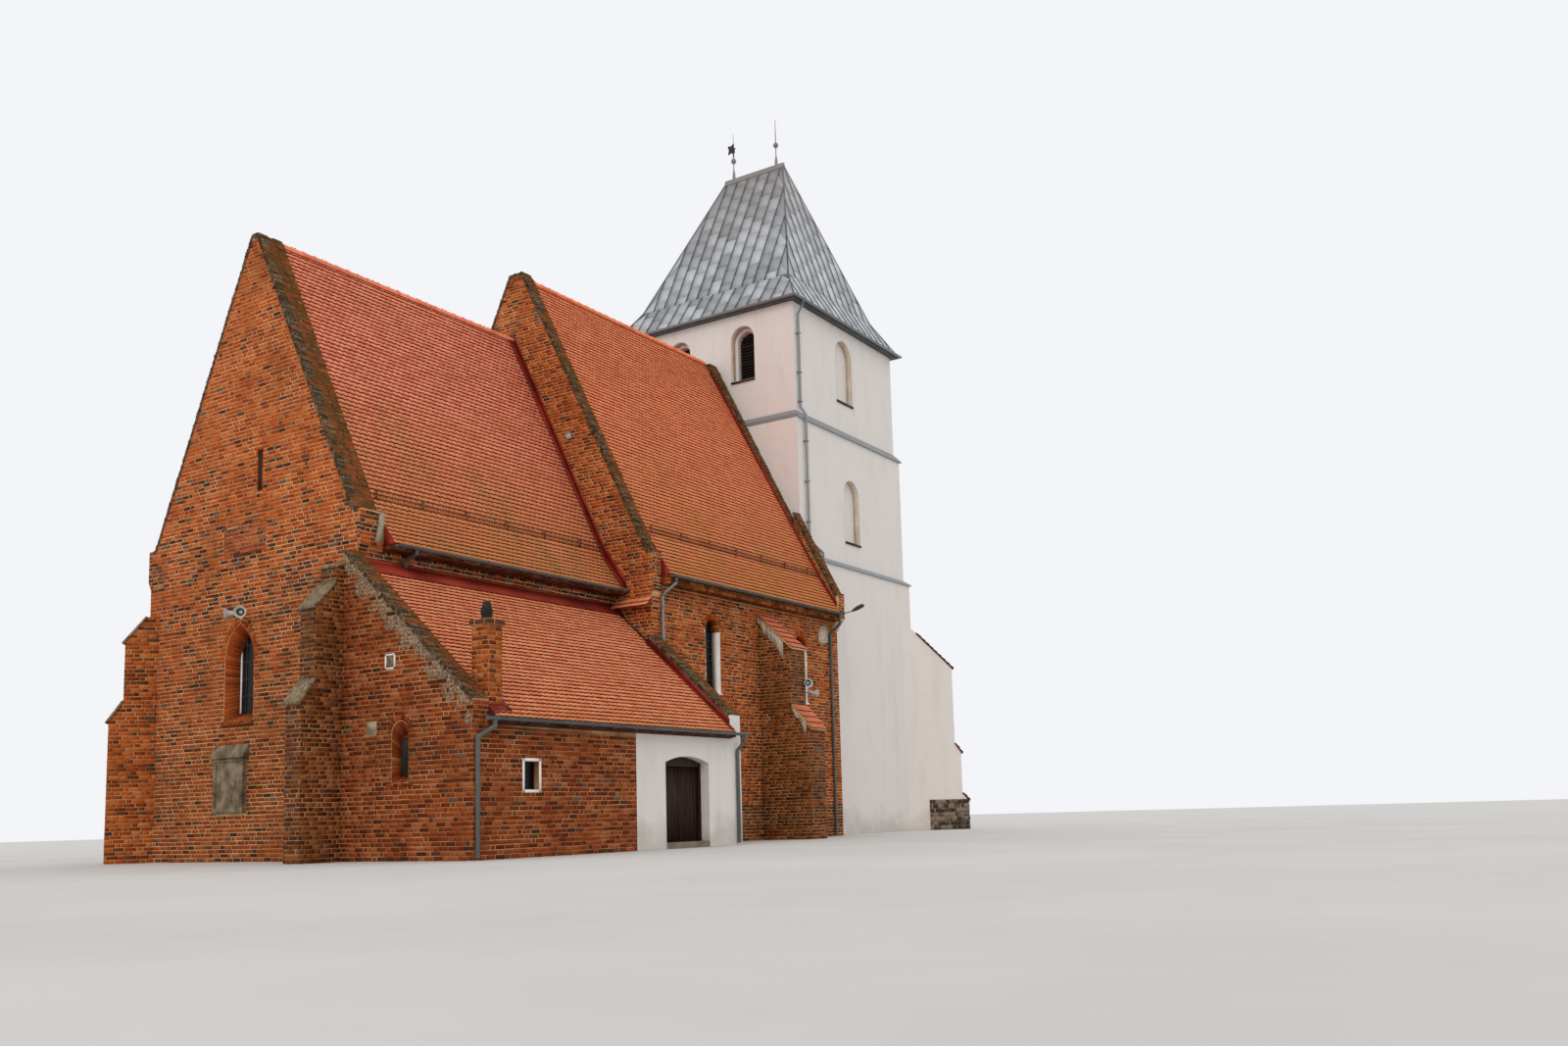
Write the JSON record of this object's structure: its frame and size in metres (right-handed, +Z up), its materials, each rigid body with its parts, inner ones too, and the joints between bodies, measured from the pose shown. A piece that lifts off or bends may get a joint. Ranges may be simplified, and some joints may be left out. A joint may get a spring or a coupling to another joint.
{
  "type": "church building",
  "caption": "Brick village church: gabled chancel, lean-to sacristy with an opening porch door, buttressed nave and plastered west tower with steep roof and turning vane.",
  "frame": {"origin": "middle of the building's bounding box, on the ground", "axes": "+X west along the church towards the tower, +Y south, +Z up"},
  "size_m": [31.079, 15.1104, 29.25],
  "materials": {
    "brick": "rough old brickwork",
    "coping_brick": "mossy weathered brick coping",
    "plaster": "pale rough render",
    "roof_tile": "red plain tiles with moss",
    "zinc": "weathered sheet metal",
    "stone": "worn stone",
    "dark_wood": "dark stained boards",
    "glass": "dark leaded glass",
    "iron": "dark wrought metal"
  },
  "bodies": {
    "building": {"chancel_east_wall": "brick", "chancel_north_wall": "brick", "chancel_south_wall": "brick", "chancel_ne_buttress": "brick", "chancel_se_buttress": "brick", "sacristy_east_wall": "brick", "sacristy_north_wall": "brick", "sacristy_chimney": "brick", "nave_east_wall": "brick", "nave_west_wall": "brick", "nave_north_wall_east": "brick", "nave_north_wall_west": "brick", "nave_south_wall_east": "brick", "nave_south_wall_west": "brick", "nave_south_buttress": "brick", "nave_north_buttress": "brick", "chancel_east_coping": "coping_brick", "nave_east_coping": "coping_brick", "nave_west_coping": "coping_brick", "porch_wall_east": "plaster", "porch_wall_west": "plaster", "porch_wall_over_door": "plaster", "porch_west_wall": "plaster", "tower_lower_stage": "plaster", "tower_middle_stage": "plaster", "tower_upper_stage": "plaster", "tower_nw_buttress": "plaster", "tower_sw_buttress": "plaster", "chancel_roof": "roof_tile", "nave_roof": "roof_tile", "sacristy_roof": "roof_tile", "tower_roof": "zinc", "tower_ridge_and_finials": "zinc", "tower_lower_offset": "zinc", "tower_upper_offset": "zinc", "chancel_north_gutter": "zinc", "chancel_south_gutter": "zinc", "nave_north_gutter": "zinc", "nave_south_gutter": "zinc", "sacristy_gutter": "zinc", "church_floor": "stone", "sacristy_floor": "stone", "porch_threshold": "stone", "east_stone_tablet": "stone", "porch_door_frame": "dark_wood", "tower_louvres_east": "dark_wood", "tower_louvres_west": "dark_wood", "east_window": "glass", "nave_north_window_1": "glass", "nave_north_window_2": "glass", "nave_south_window_1": "glass", "nave_south_window_2": "glass", "chancel_south_window_1": "glass", "chancel_south_window_2": "glass", "sacristy_window": "glass"},
    "porch_door_east": {"porch_door_east_leaf": "dark_wood"},
    "porch_door_west": {"porch_door_west_leaf": "dark_wood"},
    "vane": {"weather_vane": "iron"}
  },
  "joints": [
    {"name": "porch_door_east_hinge", "type": "hinge", "parent": "building", "child": "porch_door_east", "pos_m": [-7.89949, -6.77965, 1.1], "axis": [0, 0, 1], "range_deg": [0, 90]},
    {"name": "porch_door_west_hinge", "type": "hinge", "parent": "building", "child": "porch_door_west", "pos_m": [-6.17349, -6.77965, 1.1], "axis": [0, 0, -1], "range_deg": [0, 90]},
    {"name": "weather_vane_spin", "type": "hinge", "parent": "building", "child": "vane", "pos_m": [9.58051, 2.01515, 28.54], "axis": [0, 0, 1], "continuous": true}
  ]
}
